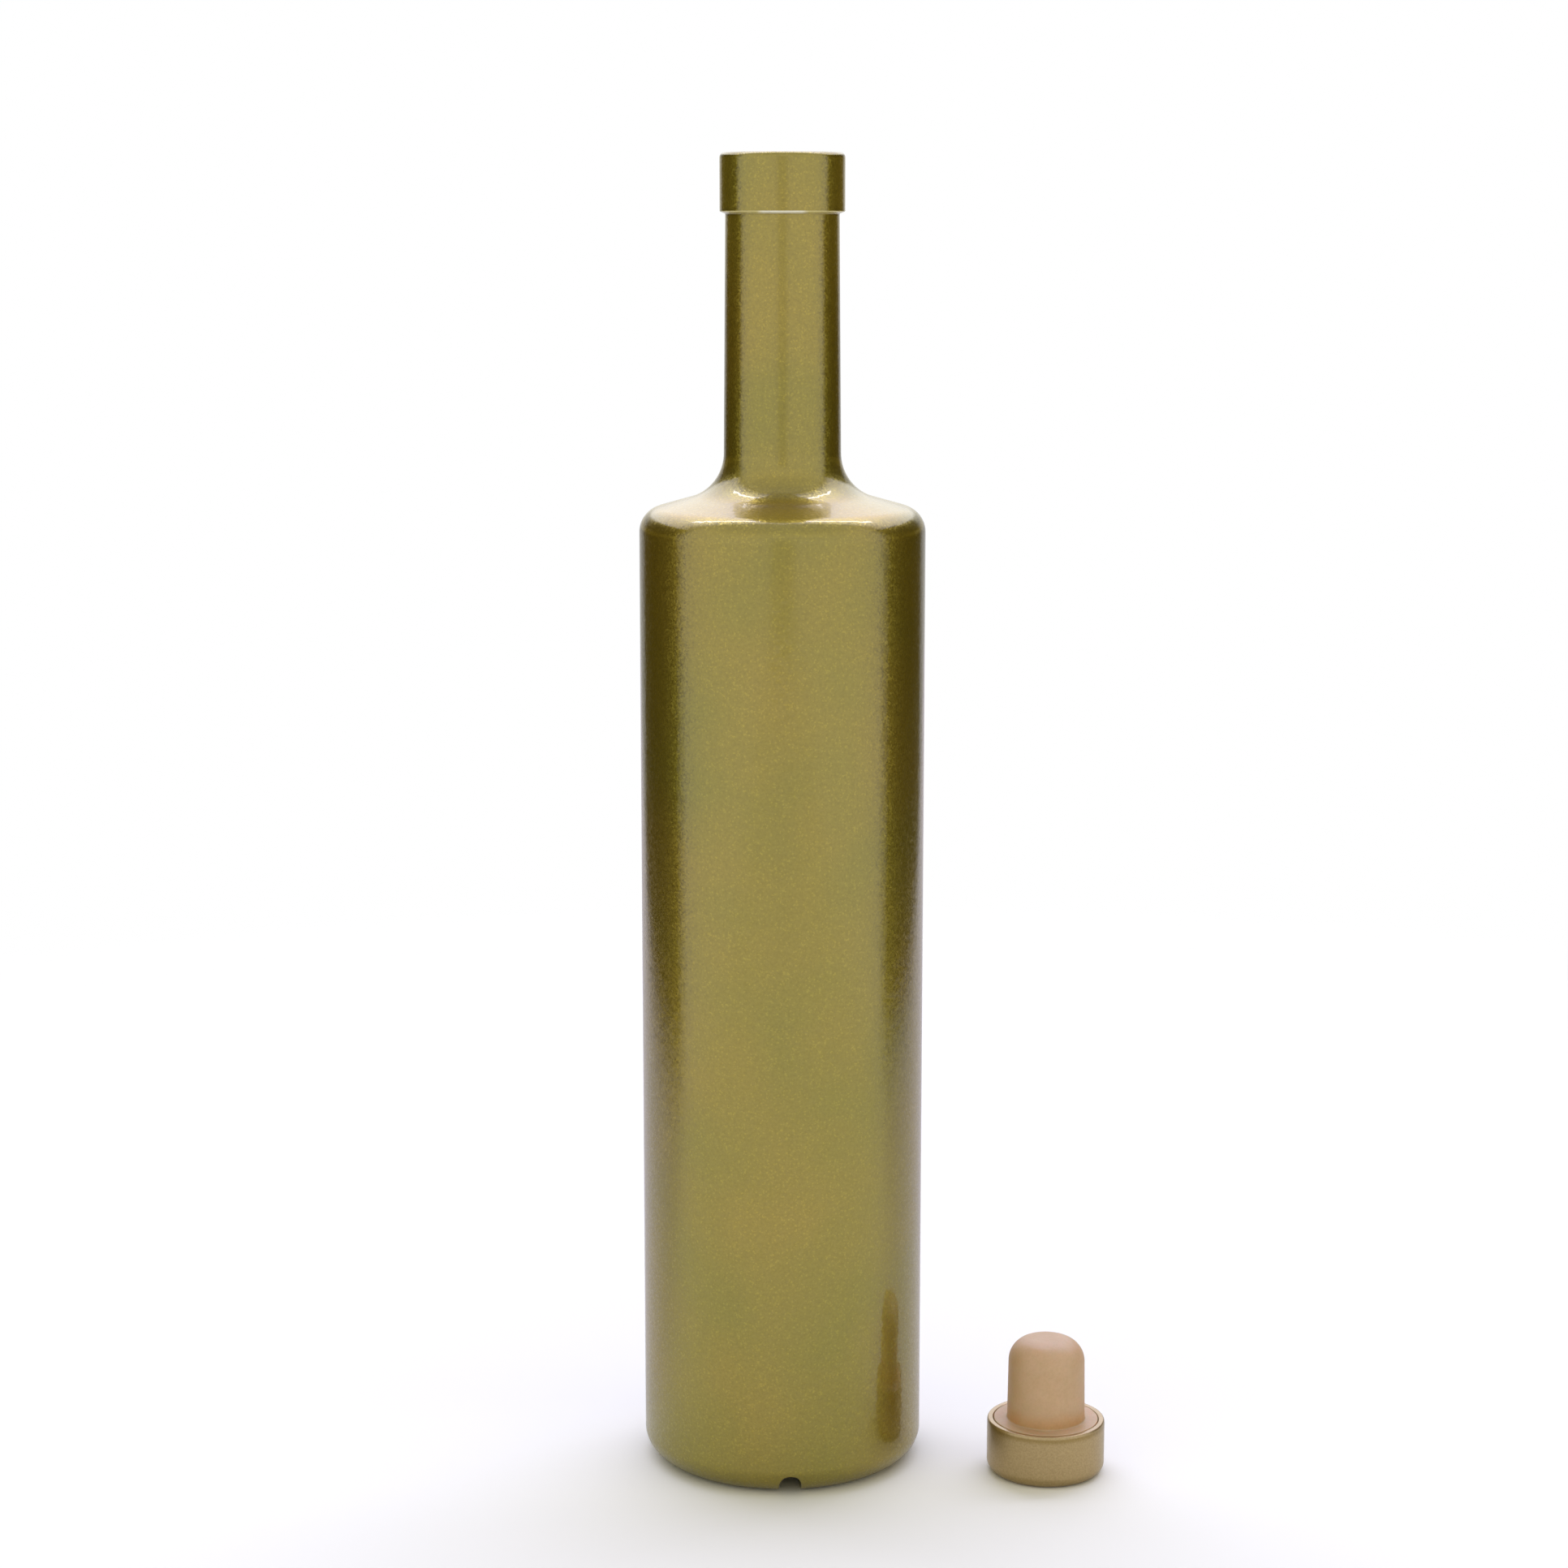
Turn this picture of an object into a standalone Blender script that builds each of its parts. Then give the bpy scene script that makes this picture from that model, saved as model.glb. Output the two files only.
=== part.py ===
"""Slim cylindrical spirits bottle in gold lacquered glass, with its bar-top stopper standing beside it.

Metres, +Z up. The origin is on the floor, at the middle of the footprint of bottle and stopper together.
The bottle is hollow and open. The stopper stands on its head, cork up, at the bottle's right-hand front.
"""

import math

import bmesh
import bpy
from mathutils import Matrix

MM = 0.001

# Bottle, outside
BOTTLE_HEIGHT = 331.3 * MM
BODY_RADIUS = 35.5 * MM
BODY_TOP = 238.8 * MM
HEEL_WIDTH = 8.0 * MM
HEEL_HEIGHT = 7.0 * MM
SHOULDER_RADIUS = 6.4 * MM
SHOULDER_SLOPE = math.radians(15.9)
SWEEP_RADIUS = 11.5 * MM
NECK_FOOT_RADIUS = 14.5 * MM
NECK_TOP_RADIUS = 14.0 * MM
MOUTH_RING_RADIUS = 15.35 * MM
MOUTH_RING_HEIGHT = 14.2 * MM
MOUTH_RING_TOP_EDGE = 1.05 * MM
MOUTH_RING_LOW_EDGE = 0.8 * MM
MOUTH_RING_FILLET = 0.5 * MM

# Bottle, inside and underneath
WALL = 4.3 * MM
BORE_RADIUS = 9.25 * MM
BORE_EDGE = 0.9 * MM
BORE_DEPTH = 26.0 * MM
BORE_FLARE = 34.0 * MM
INNER_FLOOR = 12.5 * MM
INNER_HEEL = 9.0 * MM
STANDING_RING_WIDTH = 2.4 * MM
PUNT_RISE = 5.0 * MM
PUNT_EDGE = 6.0 * MM
PUNT_CROWN = 0.6 * MM

# Arched notch through the standing ring, at the front
NOTCH_HALF_WIDTH = 2.8 * MM
NOTCH_HEIGHT = 5.4 * MM
NOTCH_INNER_SHARE = 0.72
NOTCH_LENGTH = 17.0 * MM
NOTCH_TURN = math.radians(3.4)

# Stopper
HEAD_RADIUS = 14.93 * MM
HEAD_HEIGHT = 13.9 * MM
HEAD_CROWN_EDGE = 2.9 * MM
HEAD_RIM_EDGE = 0.35 * MM
HEAD_WALL = 1.6 * MM
HEAD_CROWN_WALL = 2.2 * MM
CORK_TOP = 35.0 * MM
SHANK_FOOT_RADIUS = 9.87 * MM
SHANK_TIP_RADIUS = 9.66 * MM
SHANK_TIP_EDGE = 6.0 * MM
FLANGE_EDGE = 0.3 * MM
FIT_GAP = 0.3 * MM

# Layout: the stopper's axis, measured from the bottle's axis
STOPPER_RIGHT = 67.2 * MM
STOPPER_FORWARD = 15.2 * MM

FOOTPRINT_CENTRE = (STOPPER_RIGHT + HEAD_RADIUS - BODY_RADIUS) / 2
BOTTLE_PLACE = (-FOOTPRINT_CENTRE, 0.0, 0.0)
STOPPER_PLACE = (STOPPER_RIGHT - FOOTPRINT_CENTRE, -STOPPER_FORWARD, 0.0)

# Facets
BOTTLE_SIDES = 64
HEAD_SIDES = 48
CORK_SIDES = 40
NOTCH_SIDES = 24
MERGE_DISTANCE = 0.00001
SMOOTH_BELOW = math.radians(35)

LACQUER = {"name": "gold_lacquer", "colour": (0.33, 0.27, 0.075), "metallic": 0.85, "roughness": 0.3}
HEAD_GOLD = {"name": "head_gold", "colour": (0.38, 0.29, 0.14), "metallic": 0.8, "roughness": 0.35}
CORK = {"name": "cork_beige", "colour": (0.58, 0.36, 0.2), "metallic": 0.0, "roughness": 0.6}


def clear_scene():
    """Removes every object that is already in the scene."""
    for item in list(bpy.data.objects):
        bpy.data.objects.remove(item, do_unlink=True)


def new_collection(name):
    """A collection linked to the scene."""
    collection = bpy.data.collections.new(name)
    bpy.context.scene.collection.children.link(collection)
    return collection


def make_material(look):
    """A Principled material from a finish's colour, metallic and roughness values."""
    material = bpy.data.materials.new(look["name"])
    material.use_nodes = True
    shader = material.node_tree.nodes["Principled BSDF"]
    shader.inputs["Base Color"].default_value = (*look["colour"], 1.0)
    shader.inputs["Metallic"].default_value = look["metallic"]
    shader.inputs["Roughness"].default_value = look["roughness"]
    return material


def arc(centre, size, start, end, steps):
    """Points (r, z) along an elliptical arc about centre, from start to end in degrees, both ends included."""
    points = []
    for step in range(steps + 1):
        angle = math.radians(start + (end - start) * step / steps)
        points.append((centre[0] + size[0] * math.cos(angle), centre[1] + size[1] * math.sin(angle)))
    return points


def shoulder(body_radius, convex, neck_radius, concave, steps):
    """Points (r, z) down from the neck to the body: a concave sweep, a straight slope, a convex corner.

    The convex corner's centre is level with BODY_TOP, and both arcs meet the slope without a kink.
    Each arc has the given number of steps.
    """
    slope = SHOULDER_SLOPE
    corner_end_r = body_radius - convex + convex * math.sin(slope)
    corner_end_z = BODY_TOP + convex * math.cos(slope)
    sweep_end_r = neck_radius + concave - concave * math.sin(slope)
    sweep_end_z = corner_end_z + (corner_end_r - sweep_end_r) * math.tan(slope)
    sweep_centre = (neck_radius + concave, sweep_end_z + concave * math.cos(slope))
    tilt = 90 - math.degrees(slope)
    sweep = arc(sweep_centre, (concave, concave), 180, 180 + tilt, steps)
    corner = arc((body_radius - convex, BODY_TOP), (convex, convex), tilt, 0, steps)
    return sweep + corner


def bottle_inside():
    """Points (r, z) from the middle of the inner floor, up the wall and bore, to the lip."""
    body = BODY_RADIUS - WALL
    floor = [(0.0, INNER_FLOOR)]
    heel_centre = (body - INNER_HEEL, INNER_FLOOR + INNER_HEEL)
    heel = arc(heel_centre, (INNER_HEEL, INNER_HEEL), -90, 0, 4)
    neck_wall = NECK_FOOT_RADIUS - WALL
    inner_shoulder = shoulder(body, SHOULDER_RADIUS - WALL, neck_wall, SWEEP_RADIUS + WALL, 4)
    bore = [
        (neck_wall, BOTTLE_HEIGHT - BORE_DEPTH - BORE_FLARE),
        (BORE_RADIUS, BOTTLE_HEIGHT - BORE_DEPTH),
    ]
    lip_centre = (BORE_RADIUS + BORE_EDGE, BOTTLE_HEIGHT - BORE_EDGE)
    lip = arc(lip_centre, (BORE_EDGE, BORE_EDGE), 180, 90, 3)
    return floor + heel + inner_shoulder[::-1] + bore + lip


def bottle_outside():
    """Points (r, z) from the lip, down the mouth ring, neck, shoulder and body, to the heel."""
    ring_foot = BOTTLE_HEIGHT - MOUTH_RING_HEIGHT
    top_edge = MOUTH_RING_TOP_EDGE
    low_edge = MOUTH_RING_LOW_EDGE
    fillet = MOUTH_RING_FILLET
    ring_top = arc((MOUTH_RING_RADIUS - top_edge, BOTTLE_HEIGHT - top_edge), (top_edge, top_edge), 90, 0, 3)
    ring_low = arc((MOUTH_RING_RADIUS - low_edge, ring_foot + low_edge), (low_edge, low_edge), 0, -90, 3)
    neck_top = arc((NECK_TOP_RADIUS + fillet, ring_foot - fillet), (fillet, fillet), 90, 180, 2)
    outer_shoulder = shoulder(BODY_RADIUS, SHOULDER_RADIUS, NECK_FOOT_RADIUS, SWEEP_RADIUS, 7)
    heel = arc((BODY_RADIUS - HEEL_WIDTH, HEEL_HEIGHT), (HEEL_WIDTH, HEEL_HEIGHT), 0, -90, 6)
    return ring_top + ring_low + neck_top + outer_shoulder + heel


def bottle_underside():
    """Points (r, z) from the standing ring's inner edge, up into the punt, to its middle."""
    ring_inner = BODY_RADIUS - HEEL_WIDTH - STANDING_RING_WIDTH
    edge = arc((ring_inner - PUNT_EDGE, 0.0), (PUNT_EDGE, PUNT_RISE), 0, 90, 4)
    return edge + [(0.0, PUNT_RISE + PUNT_CROWN)]


def turn_profile(name, points, sides, material, collection):
    """A body of revolution: the (r, z) profile turned about the Z axis by a Screw modifier."""
    mesh = bpy.data.meshes.new(name)
    edges = [(index, index + 1) for index in range(len(points) - 1)]
    mesh.from_pydata([(r, 0.0, z) for r, z in points], edges, [])
    item = bpy.data.objects.new(name, mesh)
    collection.objects.link(item)
    screw = item.modifiers.new("turned", "SCREW")
    screw.axis = "Z"
    screw.angle = math.tau
    screw.steps = sides
    screw.render_steps = sides
    screw.use_merge_vertices = True
    screw.merge_threshold = MERGE_DISTANCE
    mesh.materials.append(material)
    return item


def apply_modifiers(item):
    """Puts the evaluated shape into the object's own mesh, then drops the modifiers."""
    graph = bpy.context.evaluated_depsgraph_get()
    shaped = bpy.data.meshes.new_from_object(item.evaluated_get(graph))
    old = item.data
    shaped.name = old.name
    item.modifiers.clear()
    item.data = shaped
    bpy.data.meshes.remove(old)


def shade_round(item):
    """Smooth shading that keeps the real edges crisp."""
    item.data.shade_smooth()
    item.data.set_sharp_from_angle(angle=SMOOTH_BELOW)


def make_notch_cutter(collection, place):
    """A horizontal tapered arch, widest at the heel, that points from the front towards the bottle's axis."""
    shape = bmesh.new()
    bmesh.ops.create_cone(
        shape,
        cap_ends=True,
        segments=NOTCH_SIDES,
        radius1=1.0,
        radius2=NOTCH_INNER_SHARE,
        depth=NOTCH_LENGTH,
    )
    bmesh.ops.scale(shape, vec=(NOTCH_HALF_WIDTH, NOTCH_HEIGHT, 1.0), verts=shape.verts)
    outer_end = BODY_RADIUS + FIT_GAP
    lay_down = Matrix.Rotation(math.radians(-90), 4, "X")
    reach_in = Matrix.Translation((0.0, NOTCH_LENGTH / 2 - outer_end, 0.0))
    turn = Matrix.Rotation(NOTCH_TURN, 4, "Z")
    bmesh.ops.transform(shape, matrix=turn @ reach_in @ lay_down, verts=shape.verts)
    mesh = bpy.data.meshes.new("notch_cutter")
    shape.to_mesh(mesh)
    shape.free()
    cutter = bpy.data.objects.new("notch_cutter", mesh)
    cutter.location = place
    cutter.hide_render = True
    cutter.display_type = "WIRE"
    collection.objects.link(cutter)
    return cutter


def make_bottle(parts, cutters):
    """The bottle: one hollow glass body, notched at the front of its standing ring."""
    profile = bottle_inside() + bottle_outside() + bottle_underside()
    bottle = turn_profile("bottle", profile, BOTTLE_SIDES, make_material(LACQUER), parts)
    bottle.location = BOTTLE_PLACE
    notch = bottle.modifiers.new("notch", "BOOLEAN")
    notch.operation = "DIFFERENCE"
    notch.solver = "EXACT"
    notch.object = make_notch_cutter(cutters, BOTTLE_PLACE)
    bpy.context.view_layer.update()
    apply_modifiers(bottle)
    shade_round(bottle)
    return bottle


def head_profile():
    """Points (r, z) of the stopper's cup: its recess floor, up the inner wall, over the rim, round the crown."""
    recess = HEAD_RADIUS - HEAD_WALL
    rim_inner = (recess, HEAD_HEIGHT)
    rim_centre = (HEAD_RADIUS - HEAD_RIM_EDGE, HEAD_HEIGHT - HEAD_RIM_EDGE)
    rim = arc(rim_centre, (HEAD_RIM_EDGE, HEAD_RIM_EDGE), 90, 0, 3)
    crown_centre = (HEAD_RADIUS - HEAD_CROWN_EDGE, HEAD_CROWN_EDGE)
    crown = arc(crown_centre, (HEAD_CROWN_EDGE, HEAD_CROWN_EDGE), 0, -90, 6)
    return [(0.0, HEAD_CROWN_WALL), (recess, HEAD_CROWN_WALL), rim_inner] + rim + crown + [(0.0, 0.0)]


def cork_profile():
    """Points (r, z) of the cork: its rounded tip, down the tapered shank, out over the flange, down into the cup."""
    tip_centre = (SHANK_TIP_RADIUS - SHANK_TIP_EDGE, CORK_TOP - SHANK_TIP_EDGE)
    tip = arc(tip_centre, (SHANK_TIP_EDGE, SHANK_TIP_EDGE), 90, 0, 7)
    shank_foot = (SHANK_FOOT_RADIUS, HEAD_HEIGHT)
    flange_radius = HEAD_RADIUS - HEAD_WALL - FIT_GAP
    flange_centre = (flange_radius - FLANGE_EDGE, HEAD_HEIGHT - FLANGE_EDGE)
    flange = arc(flange_centre, (FLANGE_EDGE, FLANGE_EDGE), 90, 0, 2)
    floor = HEAD_CROWN_WALL + FIT_GAP
    return [(0.0, CORK_TOP)] + tip + [shank_foot] + flange + [(flange_radius, floor), (0.0, floor)]


def make_stopper(parts):
    """The stopper, upside down: a lacquered cup, and the cork whose flange fills it."""
    stand = bpy.data.objects.new("stopper_place", None)
    stand.location = STOPPER_PLACE
    parts.objects.link(stand)
    head = turn_profile("stopper_head", head_profile(), HEAD_SIDES, make_material(HEAD_GOLD), parts)
    cork = turn_profile("stopper_cork", cork_profile(), CORK_SIDES, make_material(CORK), parts)
    for piece in (head, cork):
        piece.parent = stand
        apply_modifiers(piece)
        shade_round(piece)
    return head, cork


def main():
    clear_scene()
    parts = new_collection("corked_glass_bottle")
    cutters = new_collection("cutters")
    make_bottle(parts, cutters)
    make_stopper(parts)


main()
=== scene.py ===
import math

import bpy
import numpy as np
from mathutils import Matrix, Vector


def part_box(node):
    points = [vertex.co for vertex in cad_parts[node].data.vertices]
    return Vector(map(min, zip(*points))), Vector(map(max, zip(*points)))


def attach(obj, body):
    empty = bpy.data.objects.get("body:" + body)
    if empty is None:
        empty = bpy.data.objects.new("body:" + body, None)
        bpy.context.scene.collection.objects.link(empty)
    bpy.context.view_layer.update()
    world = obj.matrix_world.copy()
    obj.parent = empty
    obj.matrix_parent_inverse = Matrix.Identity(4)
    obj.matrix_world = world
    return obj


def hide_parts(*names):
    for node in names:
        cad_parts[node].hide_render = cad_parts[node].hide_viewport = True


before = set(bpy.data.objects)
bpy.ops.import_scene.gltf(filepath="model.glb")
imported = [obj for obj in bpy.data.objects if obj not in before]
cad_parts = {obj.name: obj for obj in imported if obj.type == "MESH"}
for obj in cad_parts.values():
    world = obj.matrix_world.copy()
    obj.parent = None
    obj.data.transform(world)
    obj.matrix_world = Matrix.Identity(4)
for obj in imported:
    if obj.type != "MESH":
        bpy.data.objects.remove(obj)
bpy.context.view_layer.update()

MM = 0.001

# Bottle, outside: the height and the body radius come from the frame
bottle_low, bottle_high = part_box("bottle")
BOTTLE_AXIS = ((bottle_low.x + bottle_high.x) / 2, (bottle_low.y + bottle_high.y) / 2)
BODY_RADIUS = (bottle_high.x - bottle_low.x) / 2
BOTTLE_HEIGHT = bottle_high.z
BODY_TOP = 238.8 * MM
HEEL_WIDTH = 8.0 * MM
HEEL_HEIGHT = 7.0 * MM
SHOULDER_RADIUS = 6.4 * MM
SHOULDER_SLOPE = math.radians(15.9)
SWEEP_RADIUS = 11.5 * MM
NECK_FOOT_RADIUS = 14.5 * MM
NECK_TOP_RADIUS = 14.0 * MM
MOUTH_RING_RADIUS = 15.35 * MM
MOUTH_RING_HEIGHT = 14.7 * MM
MOUTH_RING_TOP_EDGE = 1.35 * MM
MOUTH_RING_SLANT_WIDTH = 1.05 * MM
MOUTH_RING_SLANT_HEIGHT = 0.65 * MM
MOUTH_RING_SLANT_EDGE = 0.3 * MM
MOUTH_RING_FILLET = 0.3 * MM

# Bottle, inside and underneath
WALL = 4.3 * MM
BORE_RADIUS = 9.25 * MM
BORE_EDGE = 0.9 * MM
BORE_DEPTH = 26.0 * MM
BORE_FLARE = 34.0 * MM
INNER_FLOOR = 12.5 * MM
INNER_HEEL = 9.0 * MM
STANDING_RING_WIDTH = 2.4 * MM
PUNT_RISE = 5.0 * MM
PUNT_EDGE = 6.0 * MM
PUNT_CROWN = 0.6 * MM

# Arched notch through the standing ring
NOTCH_HALF_WIDTH = 2.95 * MM
NOTCH_HEIGHT = 5.5 * MM
NOTCH_FLATNESS = 2.6
NOTCH_INNER_SHARE = 0.72
NOTCH_LENGTH = 17.0 * MM
NOTCH_TURN = math.radians(3.4)
NOTCH_LIP = 0.9 * MM
NOTCH_SOFTNESS = 0.35 * MM
NOTCH_FINE_HALF = math.radians(8)
NOTCH_FINE_STEP = math.radians(0.2)

# Stopper: radii and heights of its two pieces come from the frame
head_low, head_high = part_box("stopper_head")
cork_low, cork_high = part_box("stopper_cork")
STOPPER_AXIS = ((head_low.x + head_high.x) / 2, (head_low.y + head_high.y) / 2)
HEAD_RADIUS = (head_high.x - head_low.x) / 2
HEAD_HEIGHT = head_high.z
HEAD_CROWN_EDGE = 2.9 * MM
HEAD_RIM_EDGE = 0.45 * MM
HEAD_RIM_DROP = 0.9 * MM
HEAD_WALL = 1.6 * MM
HEAD_CROWN_WALL = 2.2 * MM
FLANGE_GAP = 0.1 * MM
FLANGE_RADIUS = HEAD_RADIUS - HEAD_WALL - FLANGE_GAP
FLANGE_FLOOR = cork_low.z
FLANGE_EDGE = 0.25 * MM
CORK_TOP = cork_high.z
SHANK_FOOT_RADIUS = 9.87 * MM
SHANK_FOOT_FILLET = 0.35 * MM
SHANK_TIP_RADIUS = 9.66 * MM
SHANK_TIP_EDGE = 6.0 * MM
GATE_MARK_HEIGHT = 7.4 * MM
GATE_MARK_TURN = math.radians(-3.4)
GATE_MARK_WIDTH = 0.34 * MM
GATE_MARK_TALL = 0.5 * MM
GATE_MARK_DEPTH = 0.2 * MM
GATE_MARK_FINE_HALF = math.radians(6)
GATE_MARK_FINE_STEP = math.radians(0.4)

# Camera, measured from the bottle's axis and the floor
CAMERA_BACK = 825.85 * MM
CAMERA_RIGHT = 0.39 * MM
CAMERA_HEIGHT = 318.99 * MM
CAMERA_PITCH = math.radians(9.879)
CAMERA_LENS = 76.55
SENSOR_WIDTH = 36.0

# How finely the turned shapes are stepped, round the axis and along their rounded pieces
COARSE_STEP = math.radians(1.5)
STOPPER_STEP = math.radians(2)
POLE_RING = 1.0 * MM
BARE_LIP_ROWS = 6
INNER_STEPS = 10
MOUTH_EDGE_STEPS = 10
SLANT_EDGE_STEPS = 6
SHOULDER_STEPS = 18
HEEL_STEPS = 32
PUNT_STEPS = 16
RIM_INNER_STEPS = 5
RIM_OUTER_STEPS = 8
CROWN_EDGE_STEPS = 20
CORK_TIP_STEPS = 24
SHANK_FOOT_STEPS = 6
FLANGE_EDGE_STEPS = 5

# Steps of the straight runs between the pieces of each profile, in order
INSIDE_RUNS = (12, 4, 6, 6, 6)
OUTSIDE_RUNS = (6, 6, 16, 6, 28)
UNDERSIDE_RUNS = (8,)
HEAD_RUNS = (4, 6, 3, 28, 8)
CORK_RUNS = (6, 20, 5, 5, 4)


def arc(centre, size, start, end, steps):
    """Rows of (r, z) along an elliptical arc: centre plus size times (cos, sin) of evenly spaced angles."""
    angle = np.radians(np.linspace(start, end, steps + 1))
    return np.stack([centre[0] + size[0] * np.cos(angle), centre[1] + size[1] * np.sin(angle)], axis=1)


def run(start, end, steps):
    """Rows of (r, z) strictly between two points, closer together near both ends (cosine spacing)."""
    share = (1 - np.cos(np.pi * np.arange(1, steps) / steps)) / 2
    return np.outer(1 - share, start) + np.outer(share, end)


def joined(pieces, steps):
    """One profile: the pieces in order, with a straight run of the given steps from each to the next."""
    rows = [pieces[0]]
    for piece, count in zip(pieces[1:], steps):
        rows.append(run(rows[-1][-1], piece[0], count))
        rows.append(piece)
    return np.concatenate(rows)


def point(r, z):
    """A profile piece of a single (r, z) point."""
    return np.array([[r, z]])


def columns(turn, fine_half, fine_step, coarse_step):
    """Angles all round, in radians: fine steps within fine_half of turn, coarse steps elsewhere."""
    fine_count = round(2 * fine_half / fine_step)
    rest = math.tau - 2 * fine_half
    rest_count = math.ceil(rest / coarse_step)
    fine = turn - fine_half + np.arange(fine_count) * (2 * fine_half / fine_count)
    coarse = turn + fine_half + np.arange(rest_count) * (rest / rest_count)
    return np.concatenate([fine, coarse])


def turned_points(profile, angles, axis):
    """Points of a turned surface: the axis plus (r sin a, -r cos a, z), for each profile row and angle a."""
    r = profile[:, :1]
    x = axis[0] + r * np.sin(angles)
    y = axis[1] - r * np.cos(angles)
    z = np.broadcast_to(profile[:, 1:], x.shape)
    return np.stack([x, y, z], axis=2)


def closed_mesh(name, grid, first_pole, last_pole, materials, row_material=None):
    """A closed smooth mesh from a rows x columns grid that wraps round, with a single point at each end."""
    rows, cols = grid.shape[:2]
    points = np.concatenate([grid.reshape(-1, 3), [first_pole, last_pole]])
    index = np.arange(rows * cols).reshape(rows, cols)
    beside = np.roll(index, -1, axis=1)
    quads = np.stack([index[:-1], index[1:], beside[1:], beside[:-1]], axis=2).reshape(-1, 4)
    first = np.full(cols, rows * cols)
    last = first + 1
    first_fan = np.stack([first, index[0], beside[0]], axis=1)
    last_fan = np.stack([index[-1], last, beside[-1]], axis=1)
    mesh = bpy.data.meshes.new(name)
    mesh.from_pydata(points.tolist(), [], quads.tolist() + first_fan.tolist() + last_fan.tolist())
    for material in materials:
        mesh.materials.append(material)
    if row_material is not None:
        slots = np.concatenate([
            np.repeat(row_material[:-1], cols),
            np.full(cols, row_material[0]),
            np.full(cols, row_material[-1]),
        ])
        mesh.polygons.foreach_set("material_index", slots.astype(np.int32))
    mesh.shade_smooth()
    mesh.update()
    piece = bpy.data.objects.new(name, mesh)
    bpy.context.scene.collection.objects.link(piece)
    return piece


def shoulder(body_radius, convex, neck_radius, concave, steps):
    """The concave sweep below the neck and the convex corner above the body, both tangent to one slope."""
    slope = SHOULDER_SLOPE
    corner_end_r = body_radius - convex + convex * math.sin(slope)
    corner_end_z = BODY_TOP + convex * math.cos(slope)
    sweep_end_r = neck_radius + concave - concave * math.sin(slope)
    sweep_end_z = corner_end_z + (corner_end_r - sweep_end_r) * math.tan(slope)
    sweep_centre = (neck_radius + concave, sweep_end_z + concave * math.cos(slope))
    tilt = 90 - math.degrees(slope)
    sweep = arc(sweep_centre, (concave, concave), 180, 180 + tilt, steps)
    corner = arc((body_radius - convex, BODY_TOP), (convex, convex), tilt, 0, steps)
    return sweep, corner


def inside_profile():
    """From the inner floor, round the inner heel, up the wall, through the bore's flare, to the lip."""
    body = BODY_RADIUS - WALL
    neck = NECK_FOOT_RADIUS - WALL
    centre = (body - INNER_HEEL, INNER_FLOOR + INNER_HEEL)
    heel = arc(centre, (INNER_HEEL, INNER_HEEL), -90, 0, INNER_STEPS)
    sweep, corner = shoulder(body, SHOULDER_RADIUS - WALL, neck, SWEEP_RADIUS + WALL, INNER_STEPS)
    flare = point(neck, BOTTLE_HEIGHT - BORE_DEPTH - BORE_FLARE)
    bore = point(BORE_RADIUS, BOTTLE_HEIGHT - BORE_DEPTH)
    lip_centre = (BORE_RADIUS + BORE_EDGE, BOTTLE_HEIGHT - BORE_EDGE)
    lip = arc(lip_centre, (BORE_EDGE, BORE_EDGE), 180, 90, INNER_STEPS)
    return joined([heel, corner[::-1], sweep[::-1], flare, bore, lip], INSIDE_RUNS)


def outside_profile():
    """From the lip, down the mouth ring, neck, shoulder and body, round the heel, to the standing ring."""
    top = MOUTH_RING_TOP_EDGE
    edge = MOUTH_RING_SLANT_EDGE
    fillet = MOUTH_RING_FILLET
    slant = 90 - math.degrees(math.atan2(MOUTH_RING_SLANT_HEIGHT, MOUTH_RING_SLANT_WIDTH))
    slant_foot = BOTTLE_HEIGHT - MOUTH_RING_HEIGHT - fillet
    slant_top = slant_foot + fillet + MOUTH_RING_SLANT_HEIGHT
    ring_top = arc((MOUTH_RING_RADIUS - top, BOTTLE_HEIGHT - top), (top, top), 90, 0, MOUTH_EDGE_STEPS)
    ring_low = arc((MOUTH_RING_RADIUS - edge, slant_top), (edge, edge), 0, -slant, SLANT_EDGE_STEPS)
    neck_centre = (NECK_TOP_RADIUS + fillet, slant_foot)
    neck_top = arc(neck_centre, (fillet, fillet), 180 - slant, 180, SLANT_EDGE_STEPS)
    sweep, corner = shoulder(BODY_RADIUS, SHOULDER_RADIUS, NECK_FOOT_RADIUS, SWEEP_RADIUS, SHOULDER_STEPS)
    heel_centre = (BODY_RADIUS - HEEL_WIDTH, HEEL_HEIGHT)
    heel = arc(heel_centre, (HEEL_WIDTH, HEEL_HEIGHT), 0, -90, HEEL_STEPS)
    return joined([ring_top, ring_low, neck_top, sweep, corner, heel], OUTSIDE_RUNS)


def underside_profile():
    """From the standing ring's inner edge, up into the punt, towards its middle."""
    ring_inner = BODY_RADIUS - HEEL_WIDTH - STANDING_RING_WIDTH
    edge = arc((ring_inner - PUNT_EDGE, 0.0), (PUNT_EDGE, PUNT_RISE), 0, 90, PUNT_STEPS)
    inner = point(POLE_RING, PUNT_RISE + PUNT_CROWN)
    return joined([edge, inner], UNDERSIDE_RUNS)


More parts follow.
